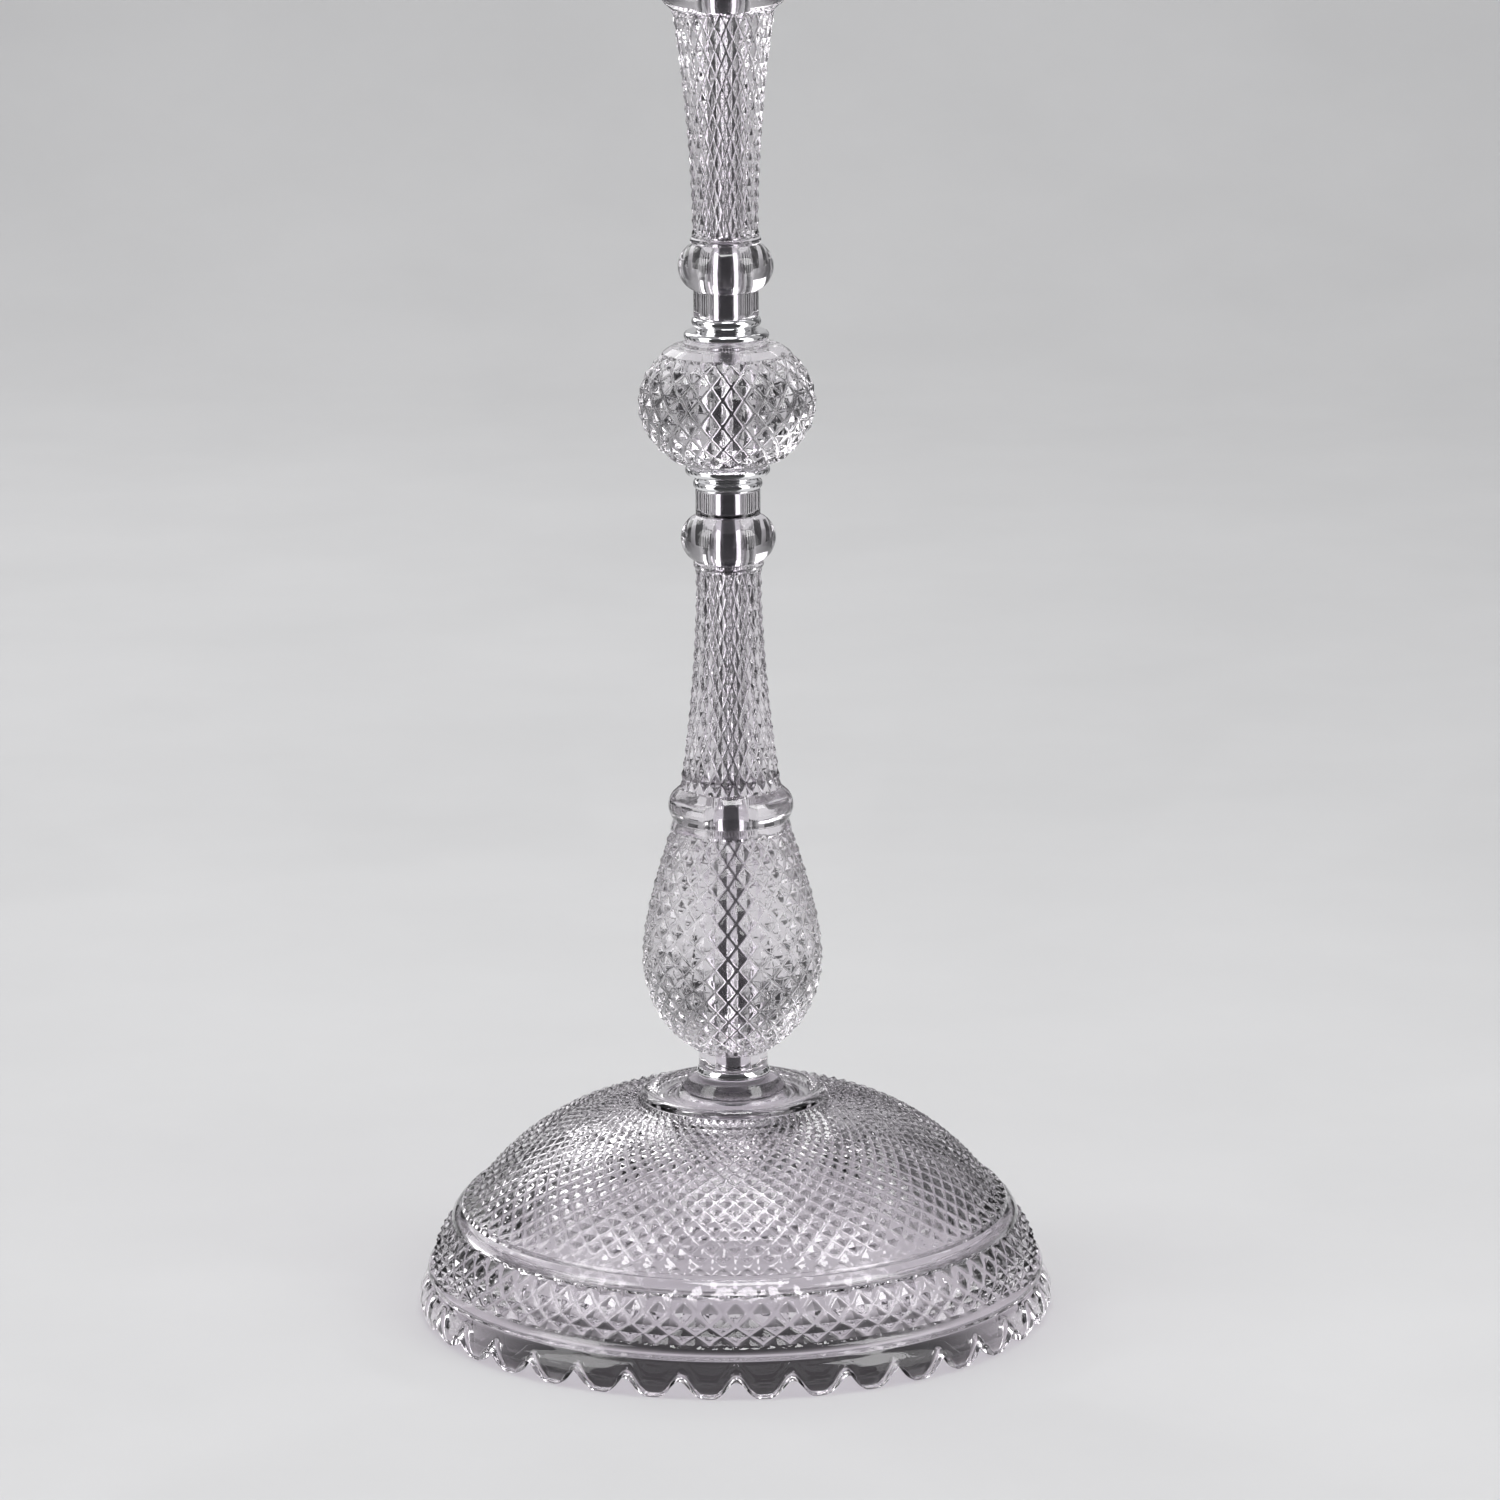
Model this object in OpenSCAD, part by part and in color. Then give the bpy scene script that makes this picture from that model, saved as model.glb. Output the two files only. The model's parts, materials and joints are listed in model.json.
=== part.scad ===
// Glass candlestick: pressed diamond-pattern glass parts stacked on a steel tie rod,
// with plated collars between them, a lift-off drip pan and a candle cup.
// Millimetres, +Z up, origin on the table at the centre of the foot.

/* [Base] */
// Largest diameter of the foot, across the bulging petals
base_d = 200; // [196:1:204]
// Height of the seat that the column stands on
base_h = 74.2; // [74.2:0.2:76]
// Number of petals round the skirt
petals = 36; // [24:2:40]
// Height of the gap between two petals
petal_gap_h = 5.6; // [4:0.2:7]
// How steeply the underside of the petals rises inwards
petal_slope = 42; // [30:1:50]
// Radius of the hole through the foot
base_hole_r = 5.2; // [5:0.1:5.6]

/* [Column] */
// Length of each glass baluster
baluster_l = 184.2; // [182:0.1:190]
// Largest radius of the pear of a baluster
pear_r = 28.4; // [26:0.1:30]
// Largest radius of the clear ring above the pear
ring_r = 19.4; // [18.6:0.1:20.5]
// Radius of the narrow part of the stem
stem_r = 10.35; // [10:0.05:11]
// Largest radius of the clear bulb under the neck
bulb_r = 14.65; // [14:0.05:15.5]
// Radius of the neck and of the foot of a baluster
neck_r = 10; // [9.8:0.1:10.3]
// Largest radius of the ball
ball_r = 27.6; // [26:0.1:29]
// Length of the ball between its collars
ball_l = 38.4; // [36:0.2:40]

/* [Hardware] */
// Radius of the threaded tie rod
rod_r = 3; // [2.8:0.1:3.2]
// Outside radius of the plated sleeve tubes
sleeve_r = 5; // [4.6:0.1:5.3]
// Radius of the bore through the glass of the column
glass_bore_r = 5.6; // [5.5:0.1:6]
// Thickness of the soft washers between glass and metal
soft_t = 0.6; // [0.4:0.1:1]

/* [Top] */
// Radius of the candle bore
candle_r = 11.4; // [10.8:0.1:11.6]
// Depth of the candle bore
candle_l = 23; // [18:0.5:26]
// Outside radius of the drip pan
pan_r = 52; // [48:0.5:56]
// Number of scallops round the drip pan
pan_scallops = 24; // [16:2:30]

/* [Hidden] */
$fn = 96;

// Clearances: a bolt-size hole round the rod, a threaded hole on the rod, and a part past a part
rod_hole_r = rod_r + 0.2;
thread_r = rod_r + 0.05;
slip = 0.4;

// Heights of the stack, from the table up
seat_washer_t = 0.5;
collar_h = 2.8;
ball_collar_h = 7.6;
collar_z = base_h + seat_washer_t;
lower_z = collar_z + collar_h;
lower_end_z = lower_z + baluster_l;
ball_z = lower_end_z + ball_collar_h;
ball_mid_z = ball_z + ball_l / 2;
upper_end_z = 2 * ball_mid_z - lower_z;
seat_z = upper_end_z + collar_h;
seat_t = 3;
cup_z = seat_z + seat_t;

// Fasteners under the foot
base_top_t = 5;
gasket_t = 1.6;
washer_t = 1.6;
lock_washer_t = 1.2;
nut_h = 5;
nut_r = 5.8;
gasket_z = base_h - base_top_t - gasket_t;
washer_z = gasket_z - washer_t;
lock_washer_z = washer_z - lock_washer_t;
nut_z = lock_washer_z - nut_h;
rod_z = nut_z - 2.2;

// The candle cup, and the nut sunk in its floor
cup_floor_h = 4;
cup_nut_h = 2.4;
cup_washer_t = 0.6;
cup_recess_h = cup_nut_h + cup_washer_t + 0.2;
cup_recess_r = 7.4;
cup_nut_r = 7;
cup_wall = 1.8;
cup_r = candle_r + cup_wall;
cup_rim_r = cup_r + 0.7;
bore_z = cup_z + cup_floor_h + cup_recess_h;
cup_top_z = bore_z + candle_l;
rod_top_z = cup_z + cup_floor_h + cup_washer_t + cup_nut_h;

// The drip pan and the soft ring under it
pan_gasket_t = 0.5;
pan_hole_r = cup_rim_r + slip;
pan_z = cup_z + pan_gasket_t;
pan_t = 3.5;
pan_flat_r = 23;
pan_rim_h = 15;
pan_notch_h = 2.8;

// Tints for the preview
glass = [0.86, 0.86, 0.93, 0.55];
plate = [0.80, 0.80, 0.83];
steel = [0.62, 0.63, 0.65];
clear_seal = [0.90, 0.90, 0.90];

// Points on a curve from a to c that leaves and arrives along the lines to b
function curve(a, b, c, n) = [for (i = [0:n]) let (t = i / n)
    (1 - t) * (1 - t) * a + 2 * t * (1 - t) * b + t * t * c];
// Points on an ellipse about a centre, from one angle to another
function oval(centre, a, b, from, to, n) = [for (i = [0:n]) let (w = from + (to - from) * i / n)
    [centre[0] + a * cos(w), centre[1] + b * sin(w)]];

// A turned solid with a round hole of its own through it
module turned(profile, hole_r) {
    first = profile[0];
    last = profile[len(profile) - 1];
    rotate_extrude()
        polygon(concat([[hole_r, first[1]]], profile, [[hole_r, last[1]]]));
}

// A flat ring
module ring(z, h, outer_r, inner_r) {
    translate([0, 0, z])
        difference() {
            cylinder(h = h, r = outer_r);
            translate([0, 0, -1]) cylinder(h = h + 2, r = inner_r);
        }
}

// The wedges that part one petal from the next: a narrow arch between two wide round lobes,
// which rises inwards by the slope
module petal_gaps(count, rim_r, gap_h, slope, span) {
    half_w = PI * rim_r / count * 0.86;
    arch = [for (i = [-6:6]) let (v = i / 6)
        [v * half_w, gap_h * cos(slope) * pow(cos(90 * v), 2.5)]];
    for (i = [0:count - 1])
        rotate([0, 0, i * 360 / count])
            translate([rim_r, 0, 0])
                rotate([0, slope, 0])
                    translate([-span, 0, 0])
                        rotate([90, 0, 90])
                            linear_extrude(height = span * 1.3)
                                polygon(concat([[-half_w, -4]], arch, [[half_w, -4]]));
}

// ---- Foot ----

// The dome is an arc about a point off the axis; its hollow follows it, a wall's thickness in
dome_mid_r = base_d / 2 - 78;
dome_mid_z = base_h - 80.4;
dome_a = 73.9;
dome_b = 74.5;
dome_top_r = 29.4;
wall = 4.6;
// Outline of the foot from a petal's tip up to the column's seat. The ribs, the diamond band
// and the dome follow each other; each rib stands a little proud
function base_outside() = let (r = base_d / 2, h = base_h) concat(
    [[r - 3.8, 0]],
    curve([r - 1.4, 0], [r + 2, 6], [r - 3.8, 11.2], 6),
    oval([r - 4.6, 13.3], 1.7, 2, -50, 60, 4),
    curve([r - 4.4, 15.7], [r - 4.9, 22.9], [r - 10.6, 29.2], 5),
    curve([r - 10.6, 29.4], [r - 11.2, 32.0], [r - 13.6, 33.5], 5),
    curve([r - 13.9, 33.6], [r - 14.6, 36.2], [r - 17.6, 37.1], 5),
    oval([dome_mid_r, dome_mid_z], dome_a, dome_b, 35.6,
        acos((dome_top_r - dome_mid_r) / dome_a), 14),
    oval([26.2, h - 6.2], 2.7, 2.5, 0, 150, 6),
    curve([23.2, h - 5.1], [16.8, h - 5.8], [15.2, h - 1.4], 5),
    [[14.4, h]]);
// Outline of the hollow underneath, from the seat's underside down to a petal's tip
function base_inside() = let (r = base_d / 2, h = base_h - base_top_t) concat(
    [[15.2, h], [18.6, h - 3.4], [27.4, h - 6.2]],
    oval([dome_mid_r, dome_mid_z], dome_a - wall, dome_b - wall, 83, 33, 10),
    [[r - 14.2, 27], [r - 10.4, 20.6], [r - 8.8, 14.4], [r - 6.4, 9], [r - 5.4, 5],
        [r - 5.2, 1.5]]);
module base_dome() {
    color(glass)
        difference() {
            rotate_extrude()
                polygon(concat(base_outside(), [[base_hole_r, base_h],
                    [base_hole_r, base_h - base_top_t]], base_inside()));
            petal_gaps(petals, base_d / 2, petal_gap_h, petal_slope, 14);
        }
}
// Plastic bush that keeps the rod off the edge of the glass hole
module base_bush() {
    color(clear_seal) ring(base_h - base_top_t, base_top_t, base_hole_r - 0.1, rod_hole_r);
}
module base_gasket() {
    color(clear_seal) ring(gasket_z, gasket_t, 14, base_hole_r);
}
module base_washer() {
    color(steel) ring(washer_z, washer_t, 12.5, rod_hole_r);
}
module base_lock_washer() {
    color(steel)
        difference() {
            ring(lock_washer_z, lock_washer_t, nut_r - 0.3, rod_hole_r);
            translate([0, -0.4, lock_washer_z - 1]) cube([nut_r + 1, 0.8, lock_washer_t + 2]);
        }
}
module base_nut() {
    color(steel)
        translate([0, 0, nut_z])
            difference() {
                cylinder(h = nut_h, r = nut_r, $fn = 6);
                translate([0, 0, -1]) cylinder(h = nut_h + 2, r = thread_r);
            }
}
// The rod runs from under the foot to the nut in the floor of the candle cup
module tie_rod() {
    color(steel)
        translate([0, 0, rod_z])
            union() {
                cylinder(h = 0.6, r1 = rod_r - 0.6, r2 = rod_r);
                translate([0, 0, 0.6]) cylinder(h = rod_top_z - rod_z - 1.2, r = rod_r);
                translate([0, 0, rod_top_z - rod_z - 0.6])
                    cylinder(h = 0.6, r1 = rod_r, r2 = rod_r - 0.6);
            }
}

// ---- Collars, washers and sleeves ----

module base_seat_washer() {
    color(clear_seal) ring(base_h, seat_washer_t, neck_r + 0.2, rod_hole_r);
}
// Plain plated collar that a baluster's foot stands in; its face is recessed for a washer
module plain_collar() {
    difference() {
        turned([[10.4, 0], [11.2, 0.3], [11.5, 1], [11.5, 1.7], [11.2, 2.3], [10.9, 2.8]],
            rod_hole_r);
        translate([0, 0, collar_h - soft_t]) cylinder(h = 2, r = neck_r - 0.8);
    }
}
module base_collar() {
    color(plate) translate([0, 0, collar_z]) plain_collar();
}
module top_collar() {
    color(plate) translate([0, 0, seat_z]) mirror([0, 0, 1]) plain_collar();
}
// Moulded collar between a neck and the ball: a bead, a groove and a wide flange
module ball_collar() {
    difference() {
        turned(concat([[neck_r, 0]], oval([9.1, 1.6], 1.6, 1.6, -70, 70, 6),
            [[9.2, 3.5], [9.2, 4.1], [10.6, 4.3]],
            oval([11.6, 5.9], 1.5, 1.5, -75, 70, 6), [[11.6, ball_collar_h]]), rod_hole_r);
        translate([0, 0, -1]) cylinder(h = 1 + soft_t, r = neck_r - 0.8);
        translate([0, 0, ball_collar_h - soft_t]) cylinder(h = 2, r = neck_r - 0.8);
    }
}
module lower_ball_collar() {
    color(plate) translate([0, 0, lower_end_z]) ball_collar();
}
module upper_ball_collar() {
    color(plate)
        translate([0, 0, ball_z + ball_l + ball_collar_h]) mirror([0, 0, 1]) ball_collar();
}
// Soft washer that fills the recess in a collar's face
module soft_washer(z) {
    color(clear_seal) ring(z, soft_t, neck_r - 1, sleeve_r + 0.2);
}
module lower_foot_washer() {
    soft_washer(lower_z - soft_t);
}
module lower_neck_washer() {
    soft_washer(lower_end_z);
}
module lower_ball_washer() {
    soft_washer(ball_z - soft_t);
}
module upper_ball_washer() {
    soft_washer(ball_z + ball_l);
}
module upper_neck_washer() {
    soft_washer(ball_z + ball_l + ball_collar_h - soft_t);
}
module upper_foot_washer() {
    soft_washer(upper_end_z);
}
// Plated tube round the rod inside a glass part; it stands in the collars' recesses
module sleeve(z, glass_l) {
    color(plate) ring(z - soft_t, glass_l + 2 * soft_t, sleeve_r, rod_r + 0.6);
}
module lower_sleeve() {
    sleeve(lower_z, baluster_l);
}
module ball_sleeve() {
    sleeve(ball_z, ball_l);
}
module upper_sleeve() {
    sleeve(ball_z + ball_l + ball_collar_h, baluster_l);
}

// ---- Column glass ----

// Outline of a baluster from its foot up: foot, pear, clear ring, stem, clear bulb, neck
foot_r = neck_r + 0.8;
pear_mid_z = 35.5;
pear_low_b = 32.5;
pear_foot_angle = -acos(foot_r / pear_r);
pear_top_z = 78.9;
pear_top_r = 18.2;
ring_mid_z = 84.1;
stem_z = 89.4;
stem_foot_r = 16;
stem_straight_z = 150.5;
bulb_back = 15.4;
bulb_section_r = 8;
bulb_mid_z = baluster_l - bulb_back;
bulb_centre_r = bulb_r - bulb_section_r;
bulb_angle = acos((neck_r - bulb_centre_r) / bulb_section_r);
function baluster_outside() = concat(
    [[foot_r, 0]],
    oval([0, pear_mid_z], pear_r, pear_low_b, pear_foot_angle, 0, 14),
    curve([pear_r, pear_mid_z + 0.5], [pear_r, 49.5], [pear_top_r, pear_top_z], 10),
    oval([ring_r - 3.4, ring_mid_z], 3.4, 5, -58, 68, 8),
    [[stem_foot_r + 0.6, stem_z]],
    curve([stem_foot_r, stem_z + 0.4], [11.4, 118.9], [stem_r, stem_straight_z], 12),
    [[stem_r, bulb_mid_z - 9.4]],
    oval([stem_r - 0.7, bulb_mid_z - 8.2], 1.3, 1.2, -60, 60, 4),
    oval([bulb_centre_r, bulb_mid_z], bulb_section_r, bulb_section_r, -62, bulb_angle, 12),
    [[neck_r, baluster_l]]);
module baluster() {
    turned(baluster_outside(), glass_bore_r);
}
module lower_baluster() {
    color(glass) translate([0, 0, lower_z]) baluster();
}
module upper_baluster() {
    color(glass) translate([0, 0, upper_end_z]) mirror([0, 0, 1]) baluster();
}
// Flattened ball with a short clear foot at each end
ball_foot_r = 13.4;
ball_foot_h = 1.6;
ball_b = 22.3;
ball_end_angle = asin((ball_l / 2 - ball_foot_h) / ball_b);
module ball_knop() {
    color(glass)
        translate([0, 0, ball_mid_z])
            turned(concat([[ball_foot_r, -ball_l / 2], [ball_foot_r, ball_foot_h - ball_l / 2]],
                oval([0, 0], ball_r, ball_b, -ball_end_angle, ball_end_angle, 24),
                [[ball_foot_r, ball_l / 2 - ball_foot_h], [ball_foot_r, ball_l / 2]]),
                glass_bore_r);
}

// ---- Top ----

// Dished plate that carries the drip pan and the candle cup
module pan_seat() {
    color(plate)
        turned([[10.2, seat_z], [11.6, seat_z + 0.5], [18.4, seat_z + 1.2], [20.6, seat_z + 1.8],
            [20.9, seat_z + 2.4], [20.6, cup_z]], rod_hole_r);
}
module pan_gasket() {
    color(clear_seal) ring(cup_z, pan_gasket_t, 19.8, pan_hole_r + 0.4);
}
// Shallow glass dish with a scalloped rim; it drops over the candle cup onto its soft ring
module drip_pan() {
    rim_top = pan_z + pan_rim_h;
    color(glass)
        difference() {
            turned(concat(
                [[pan_flat_r - 1, pan_z]],
                curve([pan_flat_r, pan_z + 0.2], [pan_r - 8, pan_z + 0.8],
                    [pan_r - 1, rim_top - 3], 10),
                oval([pan_r - 2, rim_top - 1.6], 2, 1.6, -20, 160, 8),
                curve([pan_r - 4.4, rim_top - 3.6], [pan_r - 13, pan_z + pan_t],
                    [pan_flat_r + 1, pan_z + pan_t], 8)), pan_hole_r);
            translate([0, 0, rim_top])
                mirror([0, 0, 1])
                    petal_gaps(pan_scallops, pan_r, pan_notch_h, 0, 9);
        }
}
// Plated cup with a beaded rim and a girdle
module candle_cup() {
    girdle_z = cup_z + 11;
    color(plate)
        difference() {
            turned(concat(
                [[cup_r - 0.4, cup_z], [cup_r, cup_z + 0.6], [cup_r, girdle_z - 2.2]],
                oval([cup_r - 0.5, girdle_z], 1, 1.6, -60, 60, 4),
                [[cup_r, girdle_z + 2.2], [cup_r, cup_top_z - 3.2]],
                oval([cup_rim_r - 1.4, cup_top_z - 1.4], 1.4, 1.4, -60, 80, 6)), rod_hole_r);
            translate([0, 0, cup_z + cup_floor_h]) cylinder(h = 60, r = cup_recess_r);
            translate([0, 0, bore_z]) cylinder(h = 60, r = candle_r);
        }
}
module cup_washer() {
    color(steel) ring(cup_z + cup_floor_h, cup_washer_t, 6, rod_hole_r);
}
// Round nut with a screwdriver slot
module cup_nut() {
    nut_floor = cup_z + cup_floor_h + cup_washer_t;
    color(steel)
        difference() {
            ring(nut_floor, cup_nut_h, cup_nut_r, thread_r);
            translate([-cup_nut_r - 1, -0.6, nut_floor + cup_nut_h - 1])
                cube([2 * cup_nut_r + 2, 1.2, 2]);
        }
}

base_dome();
base_bush();
base_gasket();
base_washer();
base_lock_washer();
base_nut();
tie_rod();
base_seat_washer();
base_collar();
lower_foot_washer();
lower_baluster();
lower_sleeve();
lower_neck_washer();
lower_ball_collar();
lower_ball_washer();
ball_knop();
ball_sleeve();
upper_ball_washer();
upper_ball_collar();
upper_neck_washer();
upper_baluster();
upper_sleeve();
upper_foot_washer();
top_collar();
pan_seat();
pan_gasket();
drip_pan();
candle_cup();
cup_washer();
cup_nut();
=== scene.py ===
"""Looks of the glass candlestick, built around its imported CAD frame.

Metres, +Z up, in the frame's own axes. Every turned piece takes its outline from its CAD node, so a piece
lies exactly where the CAD says. The glass gets its pressed diamonds here, cut inwards from the CAD surface.
"""
import json
import math

import bmesh
import bpy
import numpy as np
from mathutils import Matrix, Vector

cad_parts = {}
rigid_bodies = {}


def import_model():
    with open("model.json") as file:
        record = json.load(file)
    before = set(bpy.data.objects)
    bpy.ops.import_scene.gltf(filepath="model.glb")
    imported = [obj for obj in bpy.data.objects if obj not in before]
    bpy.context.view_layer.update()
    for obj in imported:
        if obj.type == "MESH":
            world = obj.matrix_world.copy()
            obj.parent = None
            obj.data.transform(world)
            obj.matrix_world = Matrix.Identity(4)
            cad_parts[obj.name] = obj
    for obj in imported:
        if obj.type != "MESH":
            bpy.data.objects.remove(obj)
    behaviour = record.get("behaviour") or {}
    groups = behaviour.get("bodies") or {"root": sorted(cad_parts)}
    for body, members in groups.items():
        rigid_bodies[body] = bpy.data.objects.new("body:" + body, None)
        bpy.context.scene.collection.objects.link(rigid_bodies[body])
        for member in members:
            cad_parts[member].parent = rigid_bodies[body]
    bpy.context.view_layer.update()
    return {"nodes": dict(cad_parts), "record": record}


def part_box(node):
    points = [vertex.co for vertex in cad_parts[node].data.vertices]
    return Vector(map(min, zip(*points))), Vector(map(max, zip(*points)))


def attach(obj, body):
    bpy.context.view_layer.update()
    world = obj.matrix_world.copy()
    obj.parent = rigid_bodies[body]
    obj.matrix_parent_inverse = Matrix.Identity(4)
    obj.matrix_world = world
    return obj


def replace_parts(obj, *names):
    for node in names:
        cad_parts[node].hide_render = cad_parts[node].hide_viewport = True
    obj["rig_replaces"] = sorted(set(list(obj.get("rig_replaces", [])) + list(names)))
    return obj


MM = 0.001

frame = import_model()


def new_object(name, vertices, faces):
    """A mesh object, linked to the scene."""
    mesh = bpy.data.meshes.new(name)
    mesh.from_pydata(vertices, [], faces)
    piece = bpy.data.objects.new(name, mesh)
    bpy.context.scene.collection.objects.link(piece)
    return piece


# ---------------------------------------------------------------- outlines from the CAD

PETAL_MIDDLE = math.radians(5.05)  # a direction through a petal, just off its centre line
PAN_LOBE_MIDDLE = math.radians(7.55)
CORNER = math.radians(32)  # a sharper turn than this in an outline stays a corner


def section(node, angle=PETAL_MIDDLE):
    """The cut of a CAD node by the half plane at this angle: an anticlockwise loop of (radius, height)."""
    bm = bmesh.new()
    bm.from_mesh(frame["nodes"][node].data)
    bmesh.ops.remove_doubles(bm, verts=bm.verts, dist=1e-6)
    bmesh.ops.rotate(bm, verts=bm.verts, cent=(0, 0, 0), matrix=Matrix.Rotation(-angle, 3, "Z"))
    whole = bm.verts[:] + bm.edges[:] + bm.faces[:]
    cut = bmesh.ops.bisect_plane(bm, geom=whole, dist=1e-8, plane_co=(0, 0, 0), plane_no=(0, 1, 0))
    links = {}
    for edge in cut["geom_cut"]:
        if isinstance(edge, bmesh.types.BMEdge) and edge.verts[0].co.x + edge.verts[1].co.x > 0:
            for a, b in (edge.verts, reversed(edge.verts)):
                links.setdefault(a, []).append(b)
    start = max(links, key=lambda v: v.co.x)
    loop, last, here = [start], start, links[start][0]
    while here is not start:
        loop.append(here)
        onward = [v for v in links[here] if v is not last]
        last, here = here, onward[0]
    points = np.array([(v.co.x, v.co.z) for v in loop])
    bm.free()
    after = np.roll(points, -1, axis=0)
    area = np.sum(points[:, 0] * after[:, 1] - points[:, 1] * after[:, 0])
    return points if area > 0 else points[::-1]


def without_short_steps(loop, least=0.02 * MM):
    """The loop without points that nearly coincide or lie on a straight line between their neighbours."""
    keep = [loop[0]]
    for p in loop[1:]:
        if np.linalg.norm(p - keep[-1]) > least:
            keep.append(p)
    loop = np.array(keep)
    before, after = loop - np.roll(loop, 1, axis=0), np.roll(loop, -1, axis=0) - loop
    turn = np.abs(before[:, 0] * after[:, 1] - before[:, 1] * after[:, 0])
    bent = turn > 1e-3 * np.linalg.norm(before, axis=1) * np.linalg.norm(after, axis=1)
    return loop[bent]


def eased(loop, radius):
    """The loop with its corners rounded to about this radius, or less where there's no room."""
    out = []
    for i, corner in enumerate(loop):
        back, on = loop[i - 1] - corner, loop[(i + 1) % len(loop)] - corner
        back_length, on_length = np.linalg.norm(back), np.linalg.norm(on)
        turn = math.pi - math.acos(np.clip(np.dot(back, on) / (back_length * on_length), -1, 1))
        if turn <= CORNER:
            out.append(corner)
            continue
        cut = min(radius * math.tan(turn / 2), 0.4 * back_length, 0.4 * on_length)
        a, b = corner + back * (cut / back_length), corner + on * (cut / on_length)
        out += [(1 - t) ** 2 * a + 2 * t * (1 - t) * corner + t * t * b for t in (0, 0.25, 0.5, 0.75, 1)]
    return np.array(out)


def smoothed(loop, step, rounding):
    """The closed loop with its corners rounded and smooth curves through its points, sampled about every
    step."""
    loop = eased(without_short_steps(loop), rounding)
    n = len(loop)
    ahead = np.roll(loop, -1, axis=0) - loop
    length = np.linalg.norm(ahead, axis=1)
    ahead = ahead / length[:, None]
    behind = np.roll(ahead, 1, axis=0)
    turn = np.arccos(np.clip(np.sum(ahead * behind, axis=1), -1, 1))
    dense = []
    for i in range(n):
        j = (i + 1) % n
        ends = []
        for k in (i, j):
            back, on = length[k - 1], length[k]
            if turn[k] > CORNER:
                ends.append(ahead[i])
            elif max(back, on) > 4 * min(back, on):  # a long straight stretch meets a fine curve
                ends.append(behind[k] if back > on else ahead[k])
            else:
                blend = behind[k] * on + ahead[k] * back
                ends.append(blend / np.linalg.norm(blend))
        count = max(1, round(length[i] / step))
        for t in np.arange(count) / count:
            h00, h10 = 2 * t**3 - 3 * t**2 + 1, t**3 - 2 * t**2 + t
            h01, h11 = 3 * t**2 - 2 * t**3, t**3 - t**2
            dense.append(h00 * loop[i] + h01 * loop[j] + length[i] * (h10 * ends[0] + h11 * ends[1]))
    return np.clip(dense, loop.min(axis=0), loop.max(axis=0))


class Outline:
    """A closed loop that can be read at any distance along it."""

    def __init__(self, loop):
        start = np.argmin(loop[:, 0] * 1000 + loop[:, 1])  # the bore's lowest point
        loop = np.roll(loop, -start, axis=0)
        self.points = np.vstack([loop, loop[:1]])
        steps = np.linalg.norm(np.diff(self.points, axis=0), axis=1)
        self.along = np.concatenate([[0], np.cumsum(steps)])
        self.length = self.along[-1]

    def at(self, s):
        return np.stack([np.interp(s, self.along, self.points[:, k]) for k in (0, 1)], axis=-1)

    def inward(self, s, reach=0.25 * MM):
        """Unit direction into the material."""
        d = self.at(s + reach) - self.at(s - reach)
        d = d / np.linalg.norm(d, axis=-1, keepdims=True)
        return np.stack([-d[..., 1], d[..., 0]], axis=-1)

    def crossings(self, height):
        """(radius, distance along the loop) wherever the loop passes this height, the outermost first."""
        z = self.points[:, 1] - height
        hits = []
        for k in np.nonzero(z[:-1] * z[1:] <= 0)[0]:
            rise = z[k + 1] - z[k]
            t = 0.0 if rise == 0 else -z[k] / rise
            s = self.along[k] + t * (self.along[k + 1] - self.along[k])
            hits.append((self.at(s)[0], s))
        return sorted(hits, reverse=True)

    def outer(self, height):
        """Distance along the loop where the outer wall passes this height."""
        return self.crossings(height)[0][1]


# ---------------------------------------------------------------- pressed diamonds

UNEVEN = 0.045 * MM  # how far the surface strays from true facets, as fire-polished glass does
stray = np.random.default_rng(11)


class Diamonds:
    """A zone of pressed diamonds round an outline, between two heights of its outer wall.

    Grooves run down both diagonals. Half rows are counted along the outline: on each half row the points of
    the diamonds and the crossings of the grooves take turns, and the next half row is the other way about.
    crossing is a column where two grooves cross at the height called anchor. half_row is the length of half
    a row, as a fixed part and a share of the radius. Without an anchor the rows start at the low end and
    stretch a little to fill the zone. rows sets the half rows as shares of the zone instead.
    """

    def __init__(self, low, high, depth, rows=None, half_row=None, anchor=None, crossing=0):
        self.low, self.high, self.depth = low, high, depth
        self.rows, self.half_row = rows, half_row
        self.anchor, self.crossing = anchor, crossing

    def row_length(self, outline, place):
        fixed, share = self.half_row
        return fixed + share * outline.at(place)[0]

    def row_places(self, outline):
        """Distances along the outline of the half rows, and which of them is the anchor."""
        first, last = outline.outer(self.low), outline.outer(self.high)
        if self.rows is not None:
            return first + (last - first) * np.array(self.rows), 0
        if self.anchor is None:
            places = [first]
            while places[-1] < last:
                places.append(places[-1] + self.row_length(outline, places[-1]))
            return first + (np.array(places) - first) * (last - first) / (places[-1] - first), 0
        places = [outline.outer(self.anchor)]
        while places[0] > first:
            places.insert(0, places[0] - self.row_length(outline, places[0]))
        places.pop(0)
        at = len(places) - 1
        while places[-1] < last:
            places.append(places[-1] + self.row_length(outline, places[-1]))
        places.pop()
        return np.array(places), at


def facet_height(f, g, tips_on_diagonal, groove):
    """Height of the pressed surface, 0 in a groove to 1 at a point, over one quarter cell. The bottom of
    the groove is rounded over this share of the cell."""
    height = np.abs(1 - f - g) if tips_on_diagonal else np.abs(f - g)
    return np.maximum(height, groove / 2)


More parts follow.
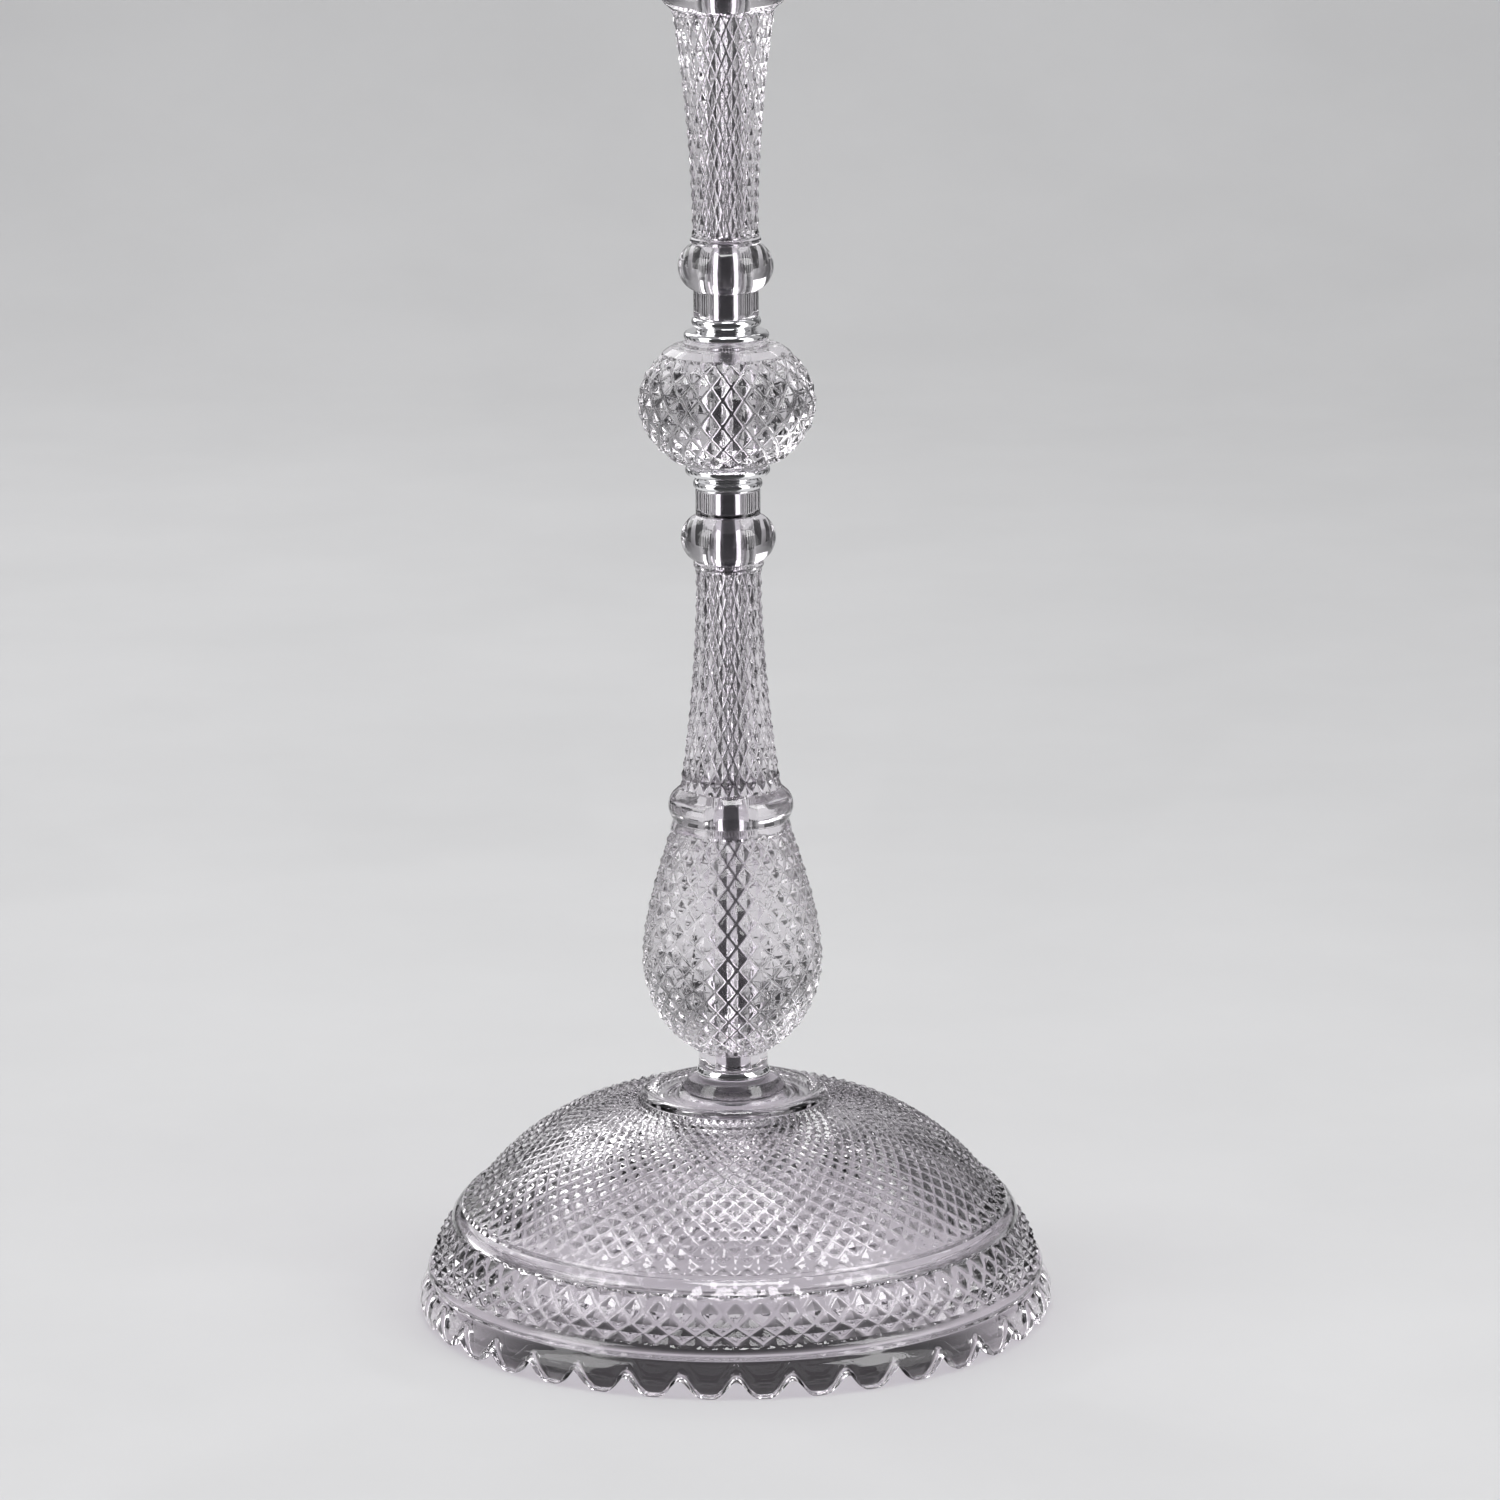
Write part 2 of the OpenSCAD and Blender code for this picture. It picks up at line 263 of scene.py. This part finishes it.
def turned(name, outline, columns, split=1, zones=(), first_angle=0.0, shape=None):
    """A closed mesh turned from an outline. columns is twice the diamonds round it, and each column and
    each half row of a zone is split into this many. shape(radius, height, angle) bends the result."""
    shares = np.arange(split) / split
    turn = 2 * np.pi / columns
    part = np.tile(shares, columns)
    column = np.repeat(np.arange(columns), split)
    angles = first_angle + (column + part) * turn
    around = len(angles)
    spans = sorted(((*z.row_places(outline), z) for z in zones), key=lambda x: x[0][0])
    rings, flips = [], []  # flips[k]: how ring k's quads split, 0 none, 1 or 2 for the diagonals

    def plain(a, b, last=False):
        """Smooth rings along the outline from a to b."""
        corners = outline.along[(outline.along > a + 1e-9) & (outline.along < b - 1e-9)]
        for s in np.concatenate([[a], corners, [b] if last else []]):
            rings.append(np.tile(outline.at(s), (around, 1)))
            flips.append(np.zeros(around, int))

    here = 0.0
    for places, anchor, zone in spans:
        gap = 0.5 * zone.depth
        plain(here, places[0] - gap, last=True)
        for j in range(len(places)):
            on_last = j == len(places) - 1
            for g in shares if not on_last else (0.0,):
                s = places[j] if on_last else places[j] + g * (places[j + 1] - places[j])
                tips = (column + j + zone.crossing + anchor) % 2 == 1
                height = np.where(
                    tips, facet_height(part, g, True, 1 / split), facet_height(part, g, False, 1 / split)
                )
                below = zone.depth * (1 - height) + UNEVEN * stray.random(around)
                point = outline.at(s) + outline.inward(s) * below[:, None]
                rings.append(point)
                flips.append(np.zeros(around, int) if on_last else np.where(tips, 2, 1))
        here = places[-1] + gap
    plain(here, outline.length - 1e-6)
    rings, flips = np.array(rings), np.array(flips)
    return finish_turned(name, rings, flips, angles, shape)


def finish_turned(name, rings, flips, angles, shape):
    """Mesh of the rings, closed both ways round."""
    count, around = flips.shape
    radius, height = rings[..., 0], rings[..., 1]
    angle = np.broadcast_to(angles, radius.shape)
    if shape is not None:
        radius, height = shape(radius, height, angle)
    vertices = np.stack([radius * np.cos(angle), radius * np.sin(angle), height], axis=-1).reshape(-1, 3)
    k, c = np.meshgrid(np.arange(count), np.arange(around), indexing="ij")
    a = k * around + c
    b = k * around + (c + 1) % around
    d = (k + 1) % count * around + c
    e = (k + 1) % count * around + (c + 1) % around
    whole = flips == 0
    faces = np.stack([a, b, e, d], axis=-1)[whole].tolist()
    for kind, halves in ((1, ((a, b, e), (a, e, d))), (2, ((a, b, d), (b, e, d)))):
        for half in halves:
            faces += np.stack(half, axis=-1)[flips == kind].tolist()
    piece = new_object(name, vertices.tolist(), faces)
    piece.data.validate()
    piece.data.shade_smooth()
    piece.data.set_sharp_from_angle(angle=math.radians(30))
    return piece


# ---------------------------------------------------------------- materials


class Nodes:
    """A material's node tree, with short calls for the nodes that these materials use."""

    def __init__(self, name):
        self.material = bpy.data.materials.new(name)
        self.material.use_nodes = True
        self.tree = self.material.node_tree
        self.shader = self.tree.nodes["Principled BSDF"]
        self.place = self.new("ShaderNodeTexCoord").outputs["Object"]

    def new(self, kind, **settings):
        node = self.tree.nodes.new(kind)
        for key, value in settings.items():
            setattr(node, key, value)
        return node

    def join(self, out, to):
        self.tree.links.new(out, to)

    def set(self, **values):
        """Values of the shader's own sockets; an underscore stands for a space."""
        for key, value in values.items():
            self.shader.inputs[key.replace("_", " ")].default_value = value

    def stretched(self, scale):
        mapping = self.new("ShaderNodeMapping")
        mapping.inputs["Scale"].default_value = scale
        self.join(self.place, mapping.inputs["Vector"])
        return mapping.outputs["Vector"]

    def noise(self, scale, detail=3.0, stretch=None, roughness=0.55):
        node = self.new("ShaderNodeTexNoise")
        self.join(self.stretched(stretch) if stretch else self.place, node.inputs["Vector"])
        node.inputs["Scale"].default_value = scale
        node.inputs["Detail"].default_value = detail
        node.inputs["Roughness"].default_value = roughness
        return node.outputs["Fac"]

    def ramp(self, value, *stops):
        """Colour or grey by value: stops are (position, colour)."""
        node = self.new("ShaderNodeValToRGB")
        self.join(value, node.inputs["Fac"])
        elements = node.color_ramp.elements
        for k, (position, colour) in enumerate(stops):
            element = elements[k] if k < 2 else elements.new(position)
            element.position = position
            grey = isinstance(colour, float)
            element.color = (colour, colour, colour, 1) if grey else (*colour, 1)
        return node.outputs["Color"]

    def bump(self, value, strength, distance):
        node = self.new("ShaderNodeBump")
        node.inputs["Strength"].default_value = strength
        node.inputs["Distance"].default_value = distance
        self.join(value, node.inputs["Height"])
        self.join(node.outputs["Normal"], self.shader.inputs["Normal"])

    def colour(self, out):
        self.join(out, self.shader.inputs["Base Color"])

    def roughness(self, out):
        self.join(out, self.shader.inputs["Roughness"])

    def let_lamps_through(self, share):
        """Lamps and soft light pass straight through, dimmed at each surface, so there are no caustics."""
        path = self.new("ShaderNodeLightPath")
        either = self.new("ShaderNodeMath", operation="MAXIMUM")
        clear = self.new("ShaderNodeBsdfTransparent")
        mix = self.new("ShaderNodeMixShader")
        clear.inputs["Color"].default_value = (*share, 1)
        self.join(path.outputs["Is Shadow Ray"], either.inputs[0])
        self.join(path.outputs["Is Diffuse Ray"], either.inputs[1])
        self.join(either.outputs["Value"], mix.inputs["Fac"])
        self.join(self.shader.outputs["BSDF"], mix.inputs[1])
        self.join(clear.outputs["BSDF"], mix.inputs[2])
        self.join(mix.outputs["Shader"], self.tree.nodes["Material Output"].inputs["Surface"])


def clear_glass():
    """Pressed glass: clear with a faint lilac tint, soft ripples from the mould, a little bloom."""
    n = Nodes("clear_glass")
    n.set(Transmission_Weight=1.0, IOR=1.5)
    n.colour(n.ramp(n.noise(26, 2), (0.3, (0.895, 0.862, 0.90)), (0.7, (0.93, 0.902, 0.934))))
    n.roughness(n.ramp(n.noise(140, 4), (0.35, 0.0), (0.75, 0.035)))
    n.bump(n.noise(420, 2), 0.12, 0.15 * MM)
    n.let_lamps_through((0.88, 0.86, 0.885))
    return n.material


def plated_metal():
    """Bright nickel plate with faint turning lines and handling marks."""
    n = Nodes("plated_metal")
    n.set(Metallic=1.0)
    n.colour(n.ramp(n.noise(60, 3), (0.3, (0.86, 0.855, 0.87)), (0.7, (0.93, 0.93, 0.94))))
    n.roughness(n.ramp(n.noise(240, 5, stretch=(1, 1, 6)), (0.3, 0.035), (0.75, 0.13)))
    n.bump(n.noise(300, 3, stretch=(1, 1, 14)), 0.08, 0.05 * MM)
    return n.material


def plain_steel():
    """Zinc-plated steel with a fine brushed grain."""
    n = Nodes("plain_steel")
    n.set(Metallic=1.0)
    n.colour(n.ramp(n.noise(120, 4), (0.3, (0.50, 0.51, 0.54)), (0.7, (0.66, 0.67, 0.68))))
    n.roughness(n.ramp(n.noise(500, 5, stretch=(1, 1, 8)), (0.3, 0.24), (0.7, 0.42)))
    n.bump(n.noise(900, 4, stretch=(1, 1, 8)), 0.15, 0.05 * MM)
    return n.material


def clear_plastic():
    """Soft translucent plastic, slightly cloudy."""
    n = Nodes("clear_plastic")
    n.set(Transmission_Weight=0.35, IOR=1.46)
    n.colour(n.ramp(n.noise(150, 4), (0.3, (0.86, 0.86, 0.87)), (0.7, (0.95, 0.95, 0.95))))
    n.roughness(n.ramp(n.noise(220, 3), (0.3, 0.28), (0.7, 0.45)))
    n.bump(n.noise(700, 3), 0.15, 0.05 * MM)
    return n.material


def pale_floor():
    """Pale matt studio paper."""
    n = Nodes("pale_paper")
    n.set(Roughness=0.85)
    n.colour(n.ramp(n.noise(7, 5), (0.3, (0.60, 0.60, 0.605)), (0.7, (0.63, 0.63, 0.635))))
    n.bump(n.noise(500, 4), 0.08, 0.2 * MM)
    return n.material


SLOTS = {
    "clear_glass": clear_glass(),
    "plated_metal": plated_metal(),
    "plain_steel": plain_steel(),
    "clear_plastic": clear_plastic(),
}
NODE_SLOT = {row["node"]: row["material_slot"] for row in frame["record"]["subparts"]}
NODE_BODY = {n: body for body, nodes in frame["record"]["behaviour"]["bodies"].items() for n in nodes}


def stand_for(piece, node):
    """The piece takes a CAD node's place, body and material."""
    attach(piece, NODE_BODY[node])
    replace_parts(piece, node)
    piece.data.materials.append(SLOTS[NODE_SLOT[node]])


# ---------------------------------------------------------------- glass

PETALS = 36
FOOT_DIAMONDS, COLUMN_DIAMONDS = 72, 24
FOOT_SPLIT, COLUMN_SPLIT = 5, 6  # faces across half a diamond
QUARTER_DIAMOND = 2 * math.pi / COLUMN_DIAMONDS / 4
GLASS_STEP, GLASS_EDGE = 0.8 * MM, 0.5 * MM  # length of a face along the outline, and radius of an edge

PETAL_GAP = 5.6 * MM  # height of the gap between two petals
PETAL_SLOPE_TOP = 4.6 * MM  # below this the petals keep their section, and above it they close up
PETAL_ROOT = 11.0 * MM  # height of the rib that the petals hang from
SCALLOP_SHARE, SCALLOP_POWER = 0.86, 2.5  # the gap's share of the width, and how narrow its top is
foot_outline = Outline(smoothed(section("base_dome"), GLASS_STEP, GLASS_EDGE))
skirt_heights = np.linspace(0.2 * MM, PETAL_ROOT + PETAL_GAP, 60)
outer_wall = np.array([foot_outline.crossings(z)[0][0] for z in skirt_heights])
inner_wall = np.array([foot_outline.crossings(z)[1][0] for z in skirt_heights])
INNER_EDGE = 1.5 * MM  # height of the inner edge of the underside, which rises inwards


def scallop(angle, count):
    """0 in the middle of a petal or scallop, rising smoothly to 1 in the gap between two."""
    across = np.abs((angle / (2 * np.pi) * count + 0.5) % 1 - 0.5) * 2
    return np.cos(np.pi / 2 * np.minimum(1, across / SCALLOP_SHARE)) ** SCALLOP_POWER


def petal_shape(radius, height, angle):
    """Cuts the lower edge into petals. The points of the skirt slide up along its own walls, so the walls
    keep their shape, and the underside between them goes up with the gap."""
    share = np.clip((PETAL_ROOT - height) / (PETAL_ROOT - PETAL_SLOPE_TOP), 0, 1)
    raised = height + PETAL_GAP * scallop(angle, PETALS) * share

    def slide(wall):
        return np.interp(raised, skirt_heights, wall) - np.interp(height, skirt_heights, wall)

    outside = np.interp(height, skirt_heights, outer_wall)
    inside = np.interp(np.maximum(height, INNER_EDGE), skirt_heights, inner_wall)
    inward = np.clip((outside - radius) / (outside - inside), 0, 1)
    sideways = (1 - inward) * slide(outer_wall) + inward * slide(inner_wall)
    return radius + np.where(share > 0, sideways, 0), raised


BAND, DOME = (15.9 * MM, 29.2 * MM), (35.4 * MM, 67.88 * MM)  # heights of the foot's two zones of diamonds
BAND_DEPTH, DOME_DEPTH = 1.5 * MM, 0.95 * MM
BAND_ROWS, DOME_ROW = (0, 0.19, 0.38, 0.66, 1.0), (1.4 * MM, 0.0236)
foot_zones = [Diamonds(*BAND, BAND_DEPTH, rows=BAND_ROWS), Diamonds(*DOME, DOME_DEPTH, half_row=DOME_ROW)]
foot = turned("foot_glass", foot_outline, 2 * FOOT_DIAMONDS, FOOT_SPLIT, foot_zones, shape=petal_shape)
stand_for(foot, "base_dome")

PEAR, STEM = (5.6 * MM, 78.0 * MM), (90.2 * MM, 158.6 * MM)  # above a baluster's foot
PEAR_ANCHOR = 41.5 * MM
FRONT_COLUMN = 35  # just left of the front
PEAR_ROW, STEM_ROW = (3.65 * MM, 0), (3.9 * MM, 0)
PEAR_DEPTH, STEM_DEPTH = 1.0 * MM, 0.9 * MM


def baluster_zones(node):
    """The diamonds of the pear and the stem. The upper baluster stands on its head."""
    low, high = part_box(node)
    if node == "lower_baluster":
        foot_z, way = low.z, 1
    else:
        foot_z, way = high.z, -1
    pear, stem = [sorted(foot_z + way * z for z in zone) for zone in (PEAR, STEM)]
    anchor = foot_z + way * PEAR_ANCHOR
    return [
        Diamonds(*pear, PEAR_DEPTH, half_row=PEAR_ROW, anchor=anchor, crossing=FRONT_COLUMN),
        Diamonds(*stem, STEM_DEPTH, half_row=STEM_ROW, crossing=FRONT_COLUMN),
    ]


for node in ("lower_baluster", "upper_baluster"):
    outline = Outline(smoothed(section(node), GLASS_STEP, GLASS_EDGE))
    zones = baluster_zones(node)
    piece = turned(node + "_glass", outline, 2 * COLUMN_DIAMONDS, COLUMN_SPLIT, zones, QUARTER_DIAMOND)
    stand_for(piece, node)

ball_low, ball_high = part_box("ball_knop")
BALL_DEPTH = 1.05 * MM
BALL_MARGIN = 1.9 * MM  # clear glass above and below the ball's diamonds
BALL_ROW = 4.35 * MM  # half a row at the widest place
BALL_ROW_SHARE = 0.55  # how much of it goes with the radius
BALL_ANCHOR = 1.0 * MM  # above the ball's middle
ball_zone = Diamonds(
    ball_low.z + BALL_MARGIN,
    ball_high.z - BALL_MARGIN,
    BALL_DEPTH,
    half_row=(BALL_ROW * (1 - BALL_ROW_SHARE), BALL_ROW * BALL_ROW_SHARE / ball_high.x),
    anchor=(ball_low.z + ball_high.z) / 2 + BALL_ANCHOR,
    crossing=FRONT_COLUMN + 1,
)
ball = turned(
    "ball_glass",
    Outline(smoothed(section("ball_knop"), GLASS_STEP, GLASS_EDGE)),
    2 * COLUMN_DIAMONDS,
    COLUMN_SPLIT,
    [ball_zone],
    QUARTER_DIAMOND,
)
stand_for(ball, "ball_knop")

PAN_SCALLOPS = 24
PAN_NOTCH = 2.8 * MM
PAN_NOTCH_REACH = 8.0 * MM  # how far down from the rim the scallops show
PAN_DIAMONDS, PAN_SPLIT = 2 * PAN_SCALLOPS, 4
PAN_DEPTH, PAN_ROW = 0.9 * MM, (0, 0.075)
PAN_CLEAR_RIM = 3.6 * MM
pan_low, pan_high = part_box("drip_pan")


def pan_shape(radius, height, angle):
    """Lowers the rim between two scallops."""
    share = np.clip((height - (pan_high.z - PAN_NOTCH_REACH)) / PAN_NOTCH_REACH, 0, 1)
    return radius, height - PAN_NOTCH * scallop(angle, PAN_SCALLOPS) * share


pan_zone = Diamonds(pan_low.z + PAN_DEPTH, pan_high.z - PAN_CLEAR_RIM, PAN_DEPTH, half_row=PAN_ROW)
pan = turned(
    "drip_pan_glass",
    Outline(smoothed(section("drip_pan", PAN_LOBE_MIDDLE), GLASS_STEP, GLASS_EDGE)),
    2 * PAN_DIAMONDS,
    PAN_SPLIT,
    [pan_zone],
    shape=pan_shape,
)
stand_for(pan, "drip_pan")

# ---------------------------------------------------------------- metal and trim

SMOOTH_COLUMNS = 96
METAL_STEP, METAL_EDGE = 0.3 * MM, 0.25 * MM
CAD_SHAPES = ("base_nut", "base_lock_washer", "cup_nut")  # not round all the way, so they keep the CAD mesh
CAD_EDGE = 0.3 * MM

replaced = {n for o in bpy.data.objects for n in o.get("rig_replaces", [])}
for node in frame["nodes"]:
    if node in replaced or node in (*CAD_SHAPES, "tie_rod"):
        continue
    outline = Outline(smoothed(section(node), METAL_STEP, METAL_EDGE))
    stand_for(turned(node + "_turned", outline, SMOOTH_COLUMNS), node)

for node in CAD_SHAPES:
    piece = frame["nodes"][node]
    piece.data.materials.clear()
    piece.data.materials.append(SLOTS[NODE_SLOT[node]])
    bevel = piece.modifiers.new("edges", "BEVEL")
    bevel.width = CAD_EDGE
    bevel.segments = 3
    bevel.limit_method = "ANGLE"
    bevel.angle_limit = math.radians(40)

THREAD_PITCH, THREAD_DEPTH = 1.0 * MM, 0.32 * MM
THREAD_COLUMNS = 24
THREAD_RINGS = 8  # to a pitch
THREAD_FLANK, THREAD_FLAT = 1.25, 0.12  # how steep the thread is, and how wide its flats are
ROD_CHAMFER = 0.6 * MM
rod_low, rod_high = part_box("tie_rod")
LOWER_THREAD_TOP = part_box("base_gasket")[1].z + 2.0 * MM
UPPER_THREAD_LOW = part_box("candle_cup")[0].z


def threaded_rod():
    """The tie rod, with a rolled thread at each end."""
    radius = rod_high.x
    fine = THREAD_PITCH / THREAD_RINGS
    lower = np.arange(rod_low.z + ROD_CHAMFER, LOWER_THREAD_TOP, fine)
    upper = np.arange(UPPER_THREAD_LOW, rod_high.z - ROD_CHAMFER, fine)
    heights = np.concatenate([[rod_low.z], lower, upper, [rod_high.z]])
    turns = np.arange(THREAD_COLUMNS) / THREAD_COLUMNS
    across = np.abs((heights[:, None] / THREAD_PITCH - turns) % 1 - 0.5) * 2
    run_out = np.minimum(np.abs(heights - lower[-1]), np.abs(heights - upper[0])) / (2 * THREAD_PITCH)
    groove = np.clip(THREAD_FLANK * across - THREAD_FLAT, 0, 1)
    depth = THREAD_DEPTH * np.clip(run_out, 0, 1)[:, None] * groove
    depth[[0, -1]] = ROD_CHAMFER
    r = radius - depth
    x, y = r * np.cos(2 * np.pi * turns), r * np.sin(2 * np.pi * turns)
    z = np.broadcast_to(heights[:, None], r.shape)
    vertices = np.stack([x, y, z], axis=-1).reshape(-1, 3).tolist()
    faces = [tuple(reversed(range(THREAD_COLUMNS)))]
    for k in range(len(heights) - 1):
        for c in range(THREAD_COLUMNS):
            a, b = k * THREAD_COLUMNS + c, k * THREAD_COLUMNS + (c + 1) % THREAD_COLUMNS
            faces.append((a, b, b + THREAD_COLUMNS, a + THREAD_COLUMNS))
    faces.append(tuple((len(heights) - 1) * THREAD_COLUMNS + c for c in range(THREAD_COLUMNS)))
    rod = new_object("tie_rod_threaded", vertices, faces)
    rod.data.shade_smooth()
    rod.data.set_sharp_from_angle(angle=math.radians(35))
    return rod


stand_for(threaded_rod(), "tie_rod")

# ---------------------------------------------------------------- stage, light and camera

STAGE_HALF_WIDTH = 5.0
STAGE_FRONT, STAGE_BACK = -4.0, 1.6
SWEEP_RADIUS, SWEEP_TOP = 0.9, 4.0


def sweep():
    """Floor that curves up into a backdrop."""
    outline = [(STAGE_FRONT, 0.0)]
    for k in range(17):
        a = math.pi / 2 * k / 16
        outline.append((STAGE_BACK + SWEEP_RADIUS * math.sin(a), SWEEP_RADIUS * (1 - math.cos(a))))
    outline.append((STAGE_BACK + SWEEP_RADIUS, SWEEP_TOP))
    vertices = [(x, y, z) for y, z in outline for x in (-STAGE_HALF_WIDTH, STAGE_HALF_WIDTH)]
    faces = [(2 * k, 2 * k + 1, 2 * k + 3, 2 * k + 2) for k in range(len(outline) - 1)]
    floor = new_object("sweep", vertices, faces)
    floor.data.shade_smooth()
    floor.data.materials.append(pale_floor())


FRONT_SPREAD = math.radians(46)  # to each side of the camera's direction
FRONT_NEAR, FRONT_FAR, FRONT_TOP = 0.13, 0.72, 0.62
UNDER_SPREAD = math.radians(95)
UNDER_INSIDE, UNDER_HEIGHT = 0.028, 0.0003
UNDER_DARK, UNDER_PALE = -0.066, -0.022  # Y where the painted shade on the card under the foot stops being black and gets pale
BACK_CARDS = (10, 28, 46, 64, 82)  # directions to each side of straight back, in degrees
BACK_SPREAD = math.radians(5)
BACK_NEAR, BACK_FAR, BACK_TOP = 0.6, 0.85, 0.34


def sector(outline, middle, spread, steps=25):
    """Vertices and faces of an outline of (radius, height) turned about the object. Direction 0 is the
    camera's side."""
    count = len(outline)
    angles = [middle + spread * (2 * k / (steps - 1) - 1) for k in range(steps)]
    vertices = [(r * math.sin(a), -r * math.cos(a), z) for a in angles for r, z in outline]
    starts = [k * count + j for k in range(steps - 1) for j in range(count - 1)]
    return vertices, [(a, a + 1, a + 1 + count, a + count) for a in starts]


def card(name, sectors, material):
    """A card of one or more sectors, seen only in reflections and through the glass."""
    vertices, faces = [], []
    for more, more_faces in sectors:
        faces += [tuple(len(vertices) + i for i in face) for face in more_faces]
        vertices += more
    piece = new_object(name, vertices, faces)
    piece.data.materials.append(material)
    piece.visible_camera = piece.visible_diffuse = piece.visible_shadow = False


def black_paper():
    """Matt black card."""
    n = Nodes("black_paper")
    n.set(Roughness=0.9)
    n.colour(n.ramp(n.noise(9, 4), (0.3, (0.03, 0.03, 0.031)), (0.7, (0.055, 0.055, 0.057))))
    return n.material


def painted_shadow_paper():
    """Matt card with painted shade: black under the front of the foot and as pale as the floor further
    back.
    """
    n = Nodes("painted_shadow_paper")
    n.set(Roughness=0.9)
    split = n.new("ShaderNodeSeparateXYZ")
    back = n.new("ShaderNodeMapRange", interpolation_type="SMOOTHSTEP")
    uneven = n.new("ShaderNodeMath", operation="MULTIPLY_ADD")
    back.inputs["From Min"].default_value = UNDER_DARK
    back.inputs["From Max"].default_value = UNDER_PALE
    uneven.inputs[1].default_value = 0.04
    n.join(n.place, split.inputs["Vector"])
    n.join(split.outputs["Y"], back.inputs["Value"])
    n.join(n.noise(40, 4), uneven.inputs[0])
    n.join(back.outputs["Result"], uneven.inputs[2])
    # Painted shade: black under the front of the foot, fading to floor pale further back, with a faint
    # random mottle.
    n.colour(n.ramp(uneven.outputs["Value"], (0.02, 0.02), (1.0, 0.61)))
    return n.material


def dark_cards():
    """Cards in front, under the front of the foot, and tall narrow ones behind. They give plate and glass
    their dark lines and middles.
    The card under the foot carries painted shade, black under the front of the foot, seen through the
    glass."""
    wall = [(FRONT_NEAR, 0.004), (FRONT_FAR, 0.02), (FRONT_FAR, FRONT_TOP)]
    under = [(UNDER_INSIDE, UNDER_HEIGHT), (FRONT_NEAR, UNDER_HEIGHT)]
    post = [(BACK_NEAR, 0.003), (BACK_FAR, 0.003), (BACK_FAR, BACK_TOP)]
    turns = [math.pi + side * math.radians(degrees) for degrees in BACK_CARDS for side in (-1, 1)]
    black = black_paper()
    card("front_card", [sector(wall, 0, FRONT_SPREAD)], black)
    card("back_cards", [sector(post, turn, BACK_SPREAD, 5) for turn in turns], black)
    # The card under the foot is painted shade, a stand-in contact shadow seen through the petals and lower
    # rows.
    card("under_card", [sector(under, 0, UNDER_SPREAD)], painted_shadow_paper())


def softbox(name, azimuth, elevation, distance, size, power, aim=(0, 0, 0.25), on_floor=True):
    """A rectangular light, placed by its direction from the object: azimuth 0 is the camera's side. The
    ones close to the object stay off the floor, where they would leave a hard edge."""
    light = bpy.data.lights.new(name, "AREA")
    light.shape = "RECTANGLE"
    light.size, light.size_y = size
    light.energy = power
    lamp = bpy.data.objects.new(name, light)
    a, e = math.radians(azimuth), math.radians(elevation)
    way = Vector((math.sin(a) * math.cos(e), -math.cos(a) * math.cos(e), math.sin(e)))
    lamp.location = Vector(aim) + distance * way
    lamp.rotation_mode = "QUATERNION"
    lamp.rotation_quaternion = way.to_track_quat("Z", "Y")
    lamp.visible_camera = False
    lamp.visible_diffuse = on_floor
    bpy.context.scene.collection.objects.link(lamp)


def studio_world():
    """Soft grey room, darker on the camera's side."""
    world = bpy.data.worlds.new("studio")
    bpy.context.scene.world = world
    world.use_nodes = True
    tree = world.node_tree
    place = tree.nodes.new("ShaderNodeTexCoord")
    split = tree.nodes.new("ShaderNodeSeparateXYZ")
    span = tree.nodes.new("ShaderNodeMapRange")
    ramp = tree.nodes.new("ShaderNodeValToRGB")
    span.inputs["From Min"].default_value = -1
    ramp.color_ramp.elements[0].position = 0.12
    ramp.color_ramp.elements[0].color = (0.035, 0.035, 0.04, 1)
    ramp.color_ramp.elements[1].position = 0.75
    ramp.color_ramp.elements[1].color = (0.52, 0.52, 0.53, 1)
    tree.links.new(place.outputs["Generated"], split.inputs["Vector"])
    tree.links.new(split.outputs["Y"], span.inputs["Value"])
    tree.links.new(span.outputs["Result"], ramp.inputs["Fac"])
    tree.links.new(ramp.outputs["Color"], tree.nodes["Background"].inputs["Color"])


def camera():
    """The viewing angle: a long lens a little above the candlestick, looking down at its foot."""
    data = bpy.data.cameras.new("camera")
    data.sensor_width = 36
    data.lens = 161.4
    data.shift_x = 0.0131
    data.clip_end = 50
    eye = bpy.data.objects.new("camera", data)
    eye.location = (0, -2.036, 0.646)
    pitch, roll = math.radians(90 - 12.92), math.radians(-0.55)
    eye.rotation_mode = "QUATERNION"
    turn = Matrix.Rotation(pitch, 3, "X") @ Matrix.Rotation(roll, 3, "Z")
    eye.rotation_quaternion = turn.to_quaternion()
    bpy.context.scene.collection.objects.link(eye)
    bpy.context.scene.camera = eye


sweep()
dark_cards()
studio_world()
softbox("strip_left", -63, 0, 0.66, (0.30, 1.0), 2.3, aim=(0, 0, 0.5), on_floor=False)
softbox("strip_right", 63, 0, 0.66, (0.34, 1.0), 1.5, aim=(0, 0, 0.5), on_floor=False)
softbox("key_left", -70, 35, 1.7, (0.9, 0.9), 7)
softbox("key_right", 60, 38, 1.7, (0.7, 0.9), 10)
softbox("back_left", -145, 30, 1.8, (0.9, 1.1), 6)
softbox("overhead", 10, 82, 1.4, (0.6, 0.6), 13)
softbox("backdrop", 0, 60, 0.9, (2.4, 0.5), 14, aim=(0, 1.9, 0.9))
camera()
scene = bpy.context.scene
scene.view_settings.view_transform = "Standard"
scene.view_settings.look = "None"
